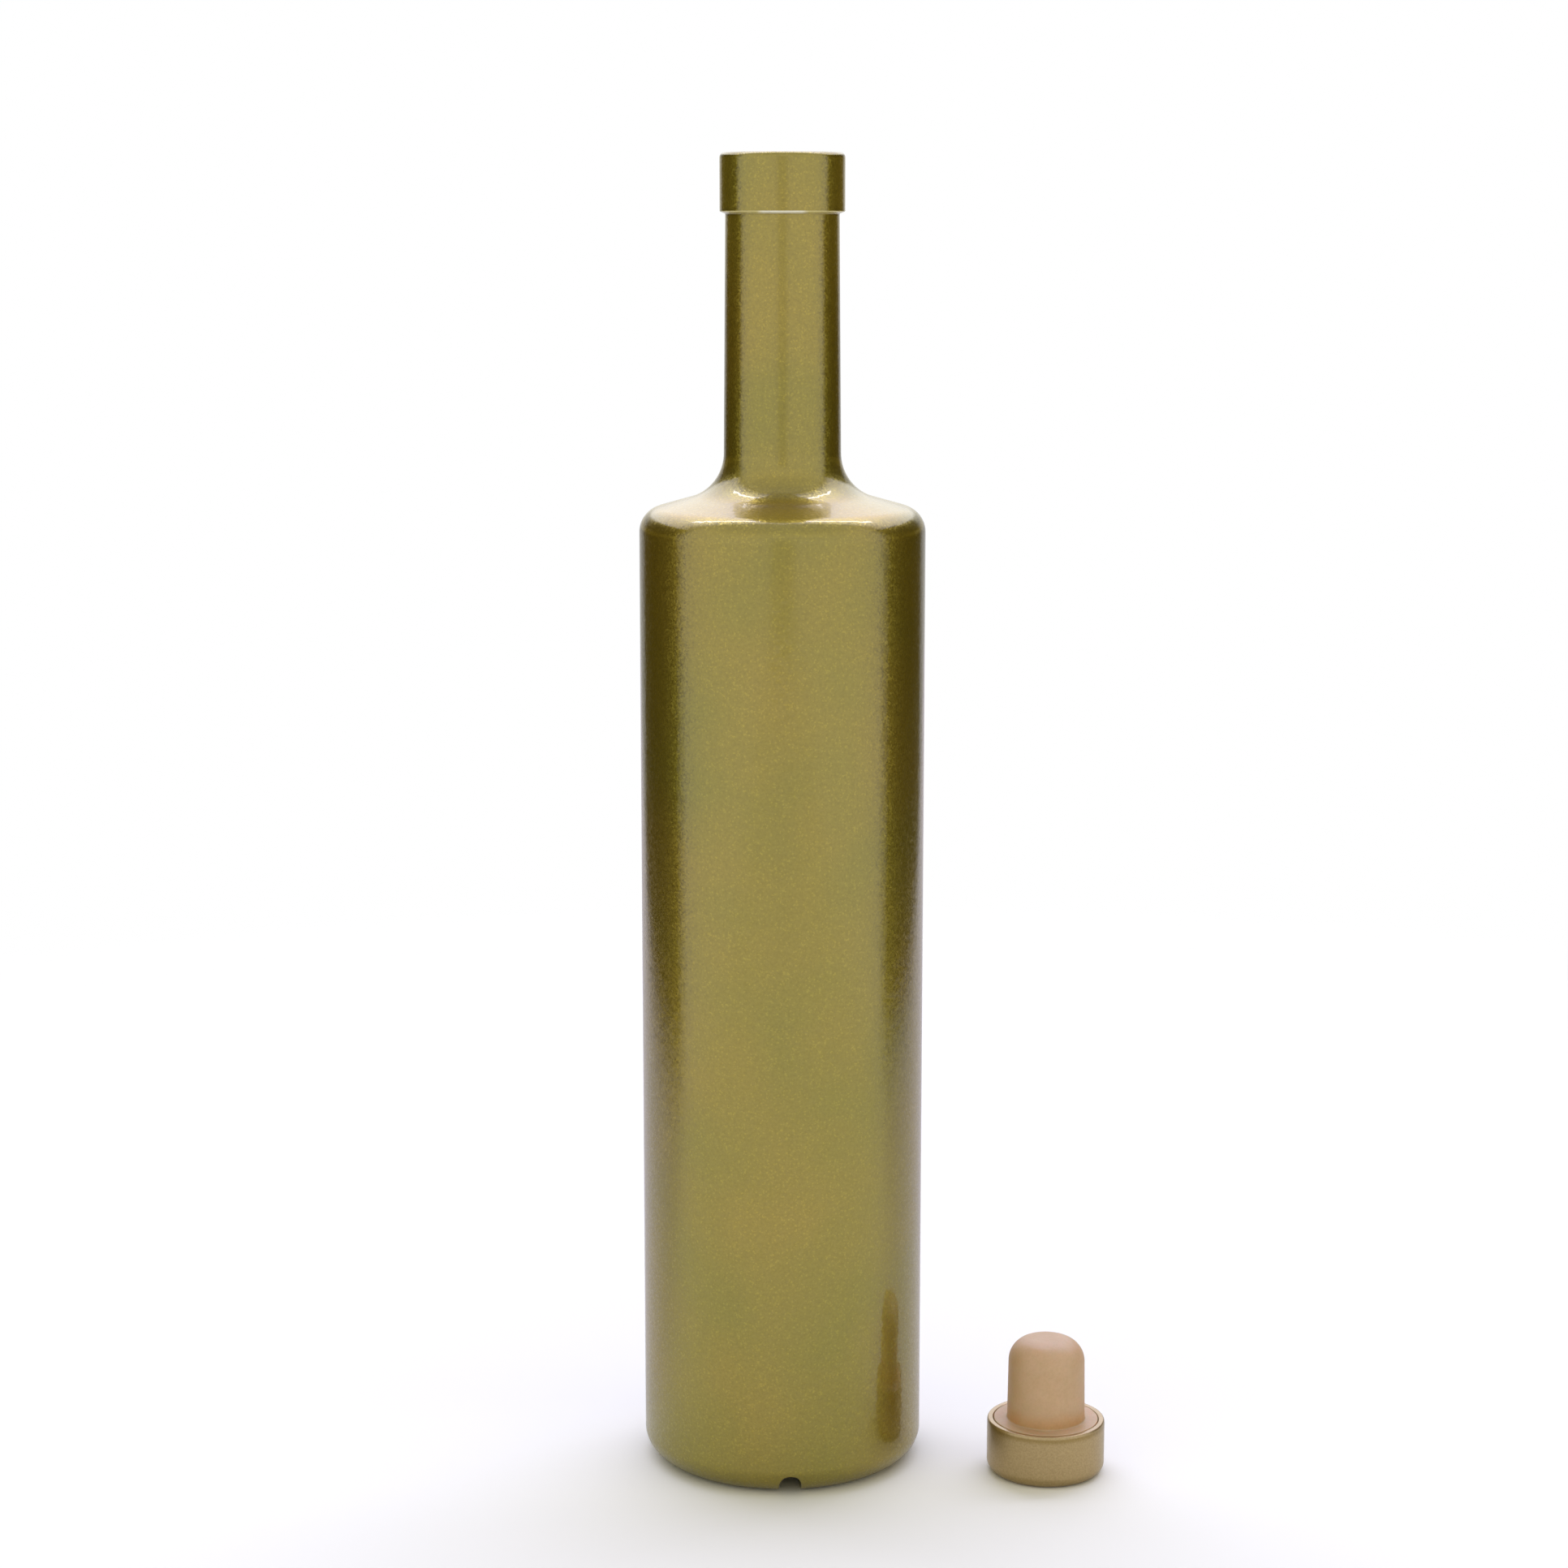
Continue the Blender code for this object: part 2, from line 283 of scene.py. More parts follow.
def notched(points):
    """Raises the underside to an arch along the notch: z becomes the larger of z and the arch's height.

    The arch is half a superellipse across the notch, (1 - u^n)^(1/n) of its height with n the flatness. It
    is smaller towards the axis, and its feet flare out in a quarter circle. Where both heights are nearly
    equal the larger one is rounded off.
    """
    x = points[..., 0] - BOTTLE_AXIS[0]
    y = points[..., 1] - BOTTLE_AXIS[1]
    z = points[..., 2]
    across = x * math.cos(NOTCH_TURN) + y * math.sin(NOTCH_TURN)
    along = x * math.sin(NOTCH_TURN) - y * math.cos(NOTCH_TURN)
    share = np.clip((along - BODY_RADIUS + NOTCH_LENGTH) / NOTCH_LENGTH, 0, 1)
    size = NOTCH_INNER_SHARE + (1 - NOTCH_INNER_SHARE) * share
    half_width = NOTCH_HALF_WIDTH * size
    height = NOTCH_HEIGHT * size
    from_middle = np.clip(np.abs(across) / half_width, 0, 1)
    within = (1 - from_middle ** NOTCH_FLATNESS) ** (1 / NOTCH_FLATNESS)
    flare = np.clip(half_width + NOTCH_LIP - np.abs(across), 0, NOTCH_LIP)
    lip = NOTCH_LIP - np.sqrt(NOTCH_LIP ** 2 - flare ** 2)
    arch = np.where(along > 0, lip + (height - NOTCH_LIP) * within, 0.0)
    soft = NOTCH_SOFTNESS * np.clip(arch / NOTCH_LIP, 0, 1)
    raised = (z + arch + np.sqrt((z - arch) ** 2 + soft ** 2)) / 2
    result = points.copy()
    result[..., 2] = np.where(arch > 0, np.maximum(raised, z), z)
    return result


def make_bottle(lacquer, bare_glass):
    """The bottle as one closed skin: bare inside, lacquered over the lip, the outside and the base."""
    inside = inside_profile()
    outside = outside_profile()
    under = underside_profile()
    profile = np.concatenate([inside, outside, under])
    angles = columns(NOTCH_TURN, NOTCH_FINE_HALF, NOTCH_FINE_STEP, COARSE_STEP)
    grid = turned_points(profile, angles, BOTTLE_AXIS)
    heel_start = len(inside) + len(outside) - (HEEL_STEPS + 1)
    grid[heel_start:] = notched(grid[heel_start:])
    row_material = np.zeros(len(profile), int)
    row_material[:len(inside) - BARE_LIP_ROWS] = 1
    first = (*BOTTLE_AXIS, INNER_FLOOR)
    last = (*BOTTLE_AXIS, PUNT_RISE + PUNT_CROWN)
    return closed_mesh("bottle_skin", grid, first, last, [lacquer, bare_glass], row_material)


def head_profile():
    """The cup: its recess floor, up the inner wall, over the rim, down the side, round the crown's edge."""
    recess = HEAD_RADIUS - HEAD_WALL
    rim = HEAD_RIM_EDGE
    drop = HEAD_RIM_DROP
    crown = HEAD_CROWN_EDGE
    floor = point(POLE_RING, HEAD_CROWN_WALL)
    corner = point(recess, HEAD_CROWN_WALL)
    rim_inner = arc((recess + rim, HEAD_HEIGHT - rim), (rim, rim), 180, 90, RIM_INNER_STEPS)
    rim_outer = arc((HEAD_RADIUS - rim, HEAD_HEIGHT - drop), (rim, drop), 90, 0, RIM_OUTER_STEPS)
    crown_edge = arc((HEAD_RADIUS - crown, crown), (crown, crown), 0, -90, CROWN_EDGE_STEPS)
    middle = point(POLE_RING, 0.0)
    return joined([floor, corner, rim_inner, rim_outer, crown_edge, middle], HEAD_RUNS)


def gate_marked(points):
    """Sinks a small round dimple into the cup's front, a Gaussian dip towards the axis."""
    x = points[..., 0] - STOPPER_AXIS[0]
    y = points[..., 1] - STOPPER_AXIS[1]
    z = points[..., 2]
    around = np.arctan2(x, -y) - GATE_MARK_TURN
    away = (HEAD_RADIUS * around / GATE_MARK_WIDTH) ** 2 + ((z - GATE_MARK_HEIGHT) / GATE_MARK_TALL) ** 2
    depth = np.where(np.hypot(x, y) > HEAD_RADIUS - HEAD_WALL / 2, GATE_MARK_DEPTH * np.exp(-away), 0.0)
    shrink = 1 - depth / np.maximum(np.hypot(x, y), MM)
    result = points.copy()
    result[..., 0] = STOPPER_AXIS[0] + x * shrink
    result[..., 1] = STOPPER_AXIS[1] + y * shrink
    return result


def make_head(gold):
    """The stopper's cup."""
    profile = head_profile()
    angles = columns(GATE_MARK_TURN, GATE_MARK_FINE_HALF, GATE_MARK_FINE_STEP, STOPPER_STEP)
    grid = gate_marked(turned_points(profile, angles, STOPPER_AXIS))
    first = (*STOPPER_AXIS, HEAD_CROWN_WALL)
    last = (*STOPPER_AXIS, 0.0)
    return closed_mesh("stopper_cup", grid, first, last, [gold])


def cork_profile():
    """The cork: its rounded tip, down the tapered shank, out over the flange, down into the cup."""
    round_tip = SHANK_TIP_EDGE
    foot = SHANK_FOOT_FILLET
    edge = FLANGE_EDGE
    top = point(POLE_RING, CORK_TOP)
    tip_centre = (SHANK_TIP_RADIUS - round_tip, CORK_TOP - round_tip)
    tip = arc(tip_centre, (round_tip, round_tip), 90, 0, CORK_TIP_STEPS)
    foot_centre = (SHANK_FOOT_RADIUS + foot, HEAD_HEIGHT + foot)
    shank_foot = arc(foot_centre, (foot, foot), 180, 270, SHANK_FOOT_STEPS)
    flange = arc((FLANGE_RADIUS - edge, HEAD_HEIGHT - edge), (edge, edge), 90, 0, FLANGE_EDGE_STEPS)
    floor_edge = point(FLANGE_RADIUS, FLANGE_FLOOR)
    floor = point(POLE_RING, FLANGE_FLOOR)
    return joined([top, tip, shank_foot, flange, floor_edge, floor], CORK_RUNS)


def make_cork(beige):
    """The cork in one piece: shank, and the flange that shows as a disc in the cup."""
    profile = cork_profile()
    angles = np.arange(round(math.tau / STOPPER_STEP)) * STOPPER_STEP
    grid = turned_points(profile, angles, STOPPER_AXIS)
    first = (*STOPPER_AXIS, CORK_TOP)
    last = (*STOPPER_AXIS, FLANGE_FLOOR)
    return closed_mesh("stopper_cork_skin", grid, first, last, [beige])


class Nodes:
    """A small helper that adds shader nodes to one node tree and links them by name."""

    def __init__(self, tree):
        self.tree = tree

    def add(self, kind, settings=None, **inputs):
        """Adds a node; settings are its properties, and inputs are values or (node, output) pairs."""
        node = self.tree.nodes.new(kind)
        for name, value in (settings or {}).items():
            setattr(node, name, value)
        for name, value in inputs.items():
            self.feed(node, name.replace("_", " "), value)
        return node

    def feed(self, node, name, value):
        """Sets or links the input of that name, or of that number for math nodes."""
        socket = node.inputs[int(name)] if name.isdigit() else node.inputs[name]
        if isinstance(value, tuple) and hasattr(value[0], "outputs"):
            self.tree.links.new(value[0].outputs[value[1]], socket)
        else:
            socket.default_value = value

    def math(self, operation, *values, clamp=False):
        """A math node of the operation on one to three values."""
        node = self.tree.nodes.new("ShaderNodeMath")
        node.operation = operation
        node.use_clamp = clamp
        for number, value in enumerate(values):
            self.feed(node, str(number), value)
        return (node, 0)

    def vector(self, operation, *values):
        """A vector math node of the operation on its values."""
        node = self.tree.nodes.new("ShaderNodeVectorMath")
        node.operation = operation
        for number, value in enumerate(values):
            name = "Scale" if operation == "SCALE" and number == 1 else str(number)
            self.feed(node, name, value)
        return (node, 0)

    def ramp(self, factor, stops):
        """A colour ramp over (position, colour) stops."""
        node = self.tree.nodes.new("ShaderNodeValToRGB")
        elements = node.color_ramp.elements
        while len(elements) > 1:
            elements.remove(elements[-1])
        for number, (position, colour) in enumerate(stops):
            element = elements[0] if number == 0 else elements.new(position)
            element.position = position
            element.color = (*colour, 1.0)
        self.feed(node, "Fac", factor)
        return (node, 0)

    def fade(self, value, start, end):
        """A smooth step from 0 at start to 1 at end."""
        node = self.tree.nodes.new("ShaderNodeMapRange")
        node.interpolation_type = "SMOOTHSTEP"
        for name, setting in (("Value", value), ("From Min", start), ("From Max", end)):
            self.feed(node, name, setting)
        return (node, "Result")

    def mix(self, share, first, second, blend="MIX"):
        """A colour mix of two colours by share."""
        node = self.tree.nodes.new("ShaderNodeMix")
        node.data_type = "RGBA"
        node.blend_type = blend
        for number, value in ((0, share), (6, first), (7, second)):
            self.feed(node, str(number), value)
        return (node, 2)


# Lacquer: flakes, of which the brightest tenth show as flecks, fine grain, a slow drift and orange peel
FLAKE_SCALE = 2600.0
FLAKE_TILT = 0.16
FLECK_LIMIT = 0.9
FLECK_TONE = (1.22, 1.21, 1.15, 1.0)
GRAIN_SCALE = 1500.0
GRAIN_DARK = (0.785, 0.785, 0.765)
GRAIN_LIGHT = (0.98, 0.98, 0.98)
DRIFT_SCALE = 26.0
LACQUER_GREENER = (0.33, 0.277, 0.033)
LACQUER_WARMER = (0.391, 0.296, 0.038)
LACQUER_METALLIC = 0.9
LACQUER_ROUGHNESS = 0.33
PEEL_SCALE = 420.0
PEEL_DEPTH = 0.2 * MM

# Bare glass inside, the cup's satin gold, and the cork
GLASS_DRIFT_SCALE = 60.0
GLASS_DARK = (0.10, 0.085, 0.030)
GLASS_LIGHT = (0.15, 0.125, 0.045)
CUP_GRAIN_SCALE = 2200.0
CUP_DARK = (0.42, 0.305, 0.146)
CUP_LIGHT = (0.52, 0.385, 0.20)
CORK_CLOUD_SCALE = 160.0
CORK_DARK = (0.58, 0.388, 0.216)
CORK_LIGHT = (0.635, 0.433, 0.26)
CORK_CELL_SCALE = 1400.0
CORK_CELL_DARK = (0.94, 0.93, 0.91)
CORK_CELL_LIGHT = (1.0, 1.0, 1.0)
CORK_GLOW_DEPTH = 4.0 * MM
FINE_BUMP = 0.1 * MM

# Painted light in bands: highlights on the shoulder and the ring's slanted foot; a dark reflection and
# bounce light by the stopper's rim
SHOULDER_FROM = BODY_TOP + 4.7 * MM
SHOULDER_FULL = BODY_TOP + 6.0 * MM
SHOULDER_FADING = BODY_TOP + 8.2 * MM
SHOULDER_END = BODY_TOP + 10.7 * MM
# Painted highlight: how much brighter the lacquer colour is made on the shoulder's slope
SHOULDER_PAINTED_HIGHLIGHT = (1.38, 1.28, 1.0, 1.0)
SLANT_LINE_BLUR = 0.12 * MM
# Painted highlight: the slanted foot's lighter line, and its painted glint in the middle of the front
SLANT_PAINTED_LINE_TONE = (0.70, 0.61, 0.24, 1.0)
SLANT_PAINTED_GLINT_TONE = (1.0, 0.98, 0.85, 1.0)
SLANT_GLINT_FROM = 4.4 * MM
SLANT_GLINT_TO = 6.6 * MM
SLANT_LINE_ROUGHER = 0.3
SLANT_LINE_LESS_METAL = -0.5
# Painted reflection: a dark band painted on the cup's side just under its rim
RIM_BAND_TOP = 0.9 * MM
RIM_BAND_END = 0.4 * MM
RIM_BAND_FOOT = 2.4 * MM
RIM_PAINTED_REFLECTION_TONE = (0.74, 0.70, 0.50, 1.0)
# Painted bounce light: the warm glow of the gold cup on the shank's foot
WARM_FOOT_HEIGHT = 5.0 * MM
CORK_FOOT_PAINTED_BOUNCE_TONE = (1.0, 0.88, 0.68, 1.0)


def new_material(name):
    """A material with an empty node tree but for its Principled shader, and the helper to fill it."""
    material = bpy.data.materials.new(name)
    material.use_nodes = True
    nodes = Nodes(material.node_tree)
    shader = material.node_tree.nodes["Principled BSDF"]
    place = (nodes.add("ShaderNodeTexCoord"), "Object")
    return material, nodes, shader, place


def lacquer_material():
    """Gold metallic lacquer: fine flakes under a glossy clear coat with a little orange peel.

    Painted highlights: on the shoulder's slope, and a line on the mouth ring's slanted foot, lightest at the
    front.
    """
    material, nodes, shader, place = new_material("gold_lacquer")
    flakes = nodes.add("ShaderNodeTexVoronoi", Vector=place, Scale=FLAKE_SCALE)
    parts = nodes.add("ShaderNodeSeparateXYZ", Vector=place)
    colour = lacquer_colour(nodes, place, flakes)
    # Painted highlight: the shoulder's slope is multiplied brighter
    colour = nodes.mix(shoulder_band(nodes, parts), colour, SHOULDER_PAINTED_HIGHLIGHT, "MULTIPLY")
    slant_line, painted_line_tone = slanted_foot_line(nodes, parts)
    metallic = nodes.math("MULTIPLY_ADD", slant_line, SLANT_LINE_LESS_METAL, LACQUER_METALLIC)
    roughness = nodes.math("MULTIPLY_ADD", slant_line, SLANT_LINE_ROUGHER, LACQUER_ROUGHNESS)
    # Painted highlight: the slanted foot takes the painted line tone instead of the lacquer colour
    nodes.feed(shader, "Base Color", nodes.mix(slant_line, colour, painted_line_tone))
    nodes.feed(shader, "Metallic", metallic)
    nodes.feed(shader, "Roughness", roughness)
    nodes.feed(shader, "Normal", flake_normal(nodes, flakes))
    nodes.feed(shader, "Coat Weight", 1.0)
    nodes.feed(shader, "Coat Roughness", 0.06)
    nodes.feed(shader, "Coat IOR", 1.65)
    peel = nodes.add("ShaderNodeTexNoise", Vector=place, Scale=PEEL_SCALE, Detail=1.0, Roughness=0.5)
    bump = nodes.add("ShaderNodeBump", Strength=0.25, Distance=PEEL_DEPTH, Height=(peel, "Fac"))
    nodes.feed(shader, "Coat Normal", (bump, "Normal"))
    return material


def flake_normal(nodes, flakes):
    """The surface's normal, tipped a little another way on each flake by the flake's own random colour."""
    tilt = nodes.vector("SUBTRACT", (flakes, "Color"), (0.5, 0.5, 0.5))
    tilt = nodes.vector("SCALE", tilt, FLAKE_TILT)
    normal = (nodes.add("ShaderNodeNewGeometry"), "Normal")
    return nodes.vector("NORMALIZE", nodes.vector("ADD", normal, tilt))


def lacquer_colour(nodes, place, flakes):
    """The lacquer's gold: a slow drift from greener to warmer, times fine grain, times the bright flecks."""
    grain = nodes.add("ShaderNodeTexNoise", Vector=place, Scale=GRAIN_SCALE, Detail=2.0, Roughness=0.6)
    drift = nodes.add("ShaderNodeTexNoise", Vector=place, Scale=DRIFT_SCALE, Detail=2.0, Roughness=0.5)
    fine = nodes.ramp((grain, "Fac"), [(0.3, GRAIN_DARK), (0.7, GRAIN_LIGHT)])
    tone = nodes.ramp((drift, "Fac"), [(0.35, LACQUER_GREENER), (0.65, LACQUER_WARMER)])
    colour = nodes.mix(1.0, tone, fine, "MULTIPLY")
    flake_draw = (nodes.add("ShaderNodeSeparateXYZ", Vector=(flakes, "Color")), "Y")
    fleck = nodes.math("GREATER_THAN", flake_draw, FLECK_LIMIT)
    return nodes.mix(fleck, colour, FLECK_TONE, "MULTIPLY")


def shoulder_band(nodes, parts):
    """How far a point is in the painted highlight band on the shoulder's slope, 0 to 1 by its height."""
    above_corner = nodes.fade((parts, "Z"), SHOULDER_FROM, SHOULDER_FULL)
    below_sweep = nodes.fade((parts, "Z"), SHOULDER_END, SHOULDER_FADING)
    return nodes.math("MULTIPLY", above_corner, below_sweep)


def slanted_foot_line(nodes, parts):
    """How far a point is on the mouth ring's slanted foot, and its painted highlight tone, with a painted
    glint in front.
    """
    height = (parts, "Z")
    slant_foot = BOTTLE_HEIGHT - MOUTH_RING_HEIGHT
    slant_top = slant_foot + MOUTH_RING_SLANT_HEIGHT
    above_foot = nodes.fade(height, slant_foot - SLANT_LINE_BLUR, slant_foot + SLANT_LINE_BLUR)
    below_top = nodes.fade(height, slant_top + SLANT_LINE_BLUR, slant_top - SLANT_LINE_BLUR)
    slant_line = nodes.math("MULTIPLY", above_foot, below_top)
    beside = nodes.math("ABSOLUTE", nodes.math("SUBTRACT", (parts, "X"), BOTTLE_AXIS[0]))
    in_middle = nodes.fade(beside, SLANT_GLINT_TO, SLANT_GLINT_FROM)
    in_front = nodes.math("LESS_THAN", (parts, "Y"), BOTTLE_AXIS[1])
    # Painted glint: the middle of the front of the slanted foot
    bright = nodes.math("MULTIPLY", in_middle, in_front)
    return slant_line, nodes.mix(bright, SLANT_PAINTED_LINE_TONE, SLANT_PAINTED_GLINT_TONE)


def bare_glass_material():
    """The uncoated inner wall: the lacquer seen through the glass, dark and glossy."""
    material, nodes, shader, place = new_material("bare_inner_glass")
    drift = nodes.add("ShaderNodeTexNoise", Vector=place, Scale=GLASS_DRIFT_SCALE, Detail=2.0)
    tone = nodes.ramp((drift, "Fac"), [(0.3, GLASS_DARK), (0.7, GLASS_LIGHT)])
    nodes.feed(shader, "Base Color", tone)
    nodes.feed(shader, "Metallic", 0.3)
    nodes.feed(shader, "Roughness", 0.35)
    nodes.feed(shader, "Coat Weight", 1.0)
    nodes.feed(shader, "Coat Roughness", 0.03)
    return material


def head_material():
    """The cup's satin gold lacquer, paler and softer than the bottle's, with a painted dark reflection band
    under the rim.
    """
    material, nodes, shader, place = new_material("head_gold")
    parts = nodes.add("ShaderNodeSeparateXYZ", Vector=place)
    grain = nodes.add("ShaderNodeTexNoise", Vector=place, Scale=CUP_GRAIN_SCALE, Detail=2.0, Roughness=0.6)
    tone = nodes.ramp((grain, "Fac"), [(0.3, CUP_DARK), (0.7, CUP_LIGHT)])
    # Painted reflection: a dark band under the rim, multiplied into the cup's colour
    band_foot = nodes.fade((parts, "Z"), HEAD_HEIGHT - RIM_BAND_FOOT, HEAD_HEIGHT - RIM_BAND_TOP)
    band_top = nodes.fade((parts, "Z"), HEAD_HEIGHT - RIM_BAND_END, HEAD_HEIGHT - RIM_BAND_TOP)
    band = nodes.math("MULTIPLY", band_foot, band_top)
    nodes.feed(shader, "Base Color", nodes.mix(band, tone, RIM_PAINTED_REFLECTION_TONE, "MULTIPLY"))
    nodes.feed(shader, "Metallic", 0.85)
    nodes.feed(shader, "Roughness", 0.36)
    nodes.feed(shader, "Coat Weight", 0.6)
    nodes.feed(shader, "Coat Roughness", 0.12)
    bump = nodes.add("ShaderNodeBump", Strength=0.2, Distance=FINE_BUMP, Height=(grain, "Fac"))
    nodes.feed(shader, "Normal", (bump, "Normal"))
    return material


def cork_material():
    """Smooth beige synthetic cork with faint mottling, with painted warm bounce light at the shank's foot,
    and a soft sheen.
    """
    material, nodes, shader, place = new_material("cork_beige")
    parts = nodes.add("ShaderNodeSeparateXYZ", Vector=place)
    clouds = nodes.add("ShaderNodeTexNoise", Vector=place, Scale=CORK_CLOUD_SCALE, Detail=3.0, Roughness=0.6)
    cells = nodes.add("ShaderNodeTexNoise", Vector=place, Scale=CORK_CELL_SCALE, Detail=2.0, Roughness=0.7)
    tone = nodes.ramp((clouds, "Fac"), [(0.3, CORK_DARK), (0.7, CORK_LIGHT)])
    fine = nodes.ramp((cells, "Fac"), [(0.3, CORK_CELL_DARK), (0.6, CORK_CELL_LIGHT)])
    colour = nodes.mix(1.0, tone, fine, "MULTIPLY")
    # Painted bounce light: warmer just above the cup
    warm_end = nodes.fade((parts, "Z"), HEAD_HEIGHT + WARM_FOOT_HEIGHT, HEAD_HEIGHT + SHANK_FOOT_FILLET)
    warm_start = nodes.fade((parts, "Z"), HEAD_HEIGHT, HEAD_HEIGHT + SHANK_FOOT_FILLET)
    warm = nodes.math("MULTIPLY", warm_start, warm_end)
    nodes.feed(shader, "Base Color", nodes.mix(warm, colour, CORK_FOOT_PAINTED_BOUNCE_TONE, "MULTIPLY"))
    nodes.feed(shader, "Roughness", 0.42)
    nodes.feed(shader, "Specular IOR Level", 0.6)
    nodes.feed(shader, "Subsurface Weight", 0.4)
    nodes.feed(shader, "Subsurface Scale", CORK_GLOW_DEPTH)
    bump = nodes.add("ShaderNodeBump", Strength=0.25, Distance=FINE_BUMP, Height=(cells, "Fac"))
    nodes.feed(shader, "Normal", (bump, "Normal"))
    return material


# The floor: its size, how it fades out to the camera and to reflections, and its tones
FLOOR_REACH = 1.6
FLOOR_SIDES = 96
FLOOR_ROUND_FADE = (0.42, 0.7)
FLOOR_SIDE_FADE = (0.34, 0.58)
FLOOR_SEEN = (0.98, 0.975, 0.885, 1.0)
FLOOR_FRONT = (0.775, 0.765, 0.62)
FLOOR_BESIDE = (0.60, 0.575, 0.49)
FLOOR_BACK = (0.57, 0.54, 0.50)
FLOOR_RAMP_START = -0.1

# The light all round, by direction: each pair is where a fade starts and where it is full
BACKDROP = (1.0, 1.0, 1.0, 1.0)
DARK_SIDE = (0.056, 0.035, 0.0)
HORIZON_LEVEL = 0.60
MIDDLE_STRIPE = (0.70, 0.69, 0.65, 1.0)
STRIPE_SIDE_FADE = (0.085, 0.015)
STRIPE_TOP_FADE = (0.55, 0.15)
WARM_HAZE = (0.12, 0.09, 0.01)
HAZE_FOOT_FADE = (-0.035, 0.0)
HAZE_TOP_FADE = (0.14, 0.05)

# The overhead light and the hot strip across it
TOP_STRENGTH = 4.0
TOP_SLANT = 0.57
TOP_LOW_FADE = (0.0, 0.08)
TOP_FRONT_FADE = (-0.08, 0.34)
STRIP_LIGHT = (8.0, 8.0, 10.0, 1.0)
STRIP_FRONT_FADE = (0.35, 0.37)
STRIP_BACK_FADE = (0.43, 0.41)
STRIP_FOOT_FADE = (0.72, 0.78)


def top_light(nodes, parts, around):
    """The overhead light, laid over the light all round. It hangs behind and reaches just past the zenith.

    It comes up slowly along y from its front edge, and lies where z is over the slant times |x|. It grows
    brighter with height, and has a thin hot strip across it where its front edge ends.
    """
    beside = nodes.math("MULTIPLY", nodes.math("ABSOLUTE", (parts, "X")), TOP_SLANT)
    low_edge = nodes.fade(nodes.math("SUBTRACT", (parts, "Z"), beside), *TOP_LOW_FADE)
    front_edge = nodes.fade((parts, "Y"), *TOP_FRONT_FADE)
    tone = nodes.ramp((parts, "Z"), [
        (0.05, (0.20, 0.20, 0.20)),
        (0.26, (0.32, 0.32, 0.33)),
        (0.42, (0.34, 0.34, 0.38)),
        (0.60, (0.35, 0.345, 0.465)),
        (0.80, (0.43, 0.44, 0.62)),
        (0.92, (0.38, 0.39, 0.56)),
    ])
    light = nodes.vector("SCALE", tone, TOP_STRENGTH)
    lit = nodes.mix(nodes.math("MULTIPLY", low_edge, front_edge), around, light)
    strip_front = nodes.fade((parts, "Y"), *STRIP_FRONT_FADE)
    strip_back = nodes.fade((parts, "Y"), *STRIP_BACK_FADE)
    strip_foot = nodes.fade((parts, "Z"), *STRIP_FOOT_FADE)
    strip = nodes.math("MULTIPLY", nodes.math("MULTIPLY", strip_front, strip_back), strip_foot)
    return nodes.mix(strip, lit, STRIP_LIGHT)


def angle_from_front(nodes, parts):
    """The angle round the object from the front, as a share of half a turn.

    It is the arc cosine of minus y over the length of (x, y).
    """
    x_squared = nodes.math("POWER", (parts, "X"), 2.0)
    y_squared = nodes.math("POWER", (parts, "Y"), 2.0)
    level_length = nodes.math("SQRT", nodes.math("ADD", x_squared, y_squared))
    towards_back = nodes.math("DIVIDE", (parts, "Y"), nodes.math("MAXIMUM", level_length, 0.001))
    angle = nodes.math("ARCCOSINE", nodes.math("MULTIPLY", towards_back, -1.0))
    return nodes.math("DIVIDE", angle, math.pi)


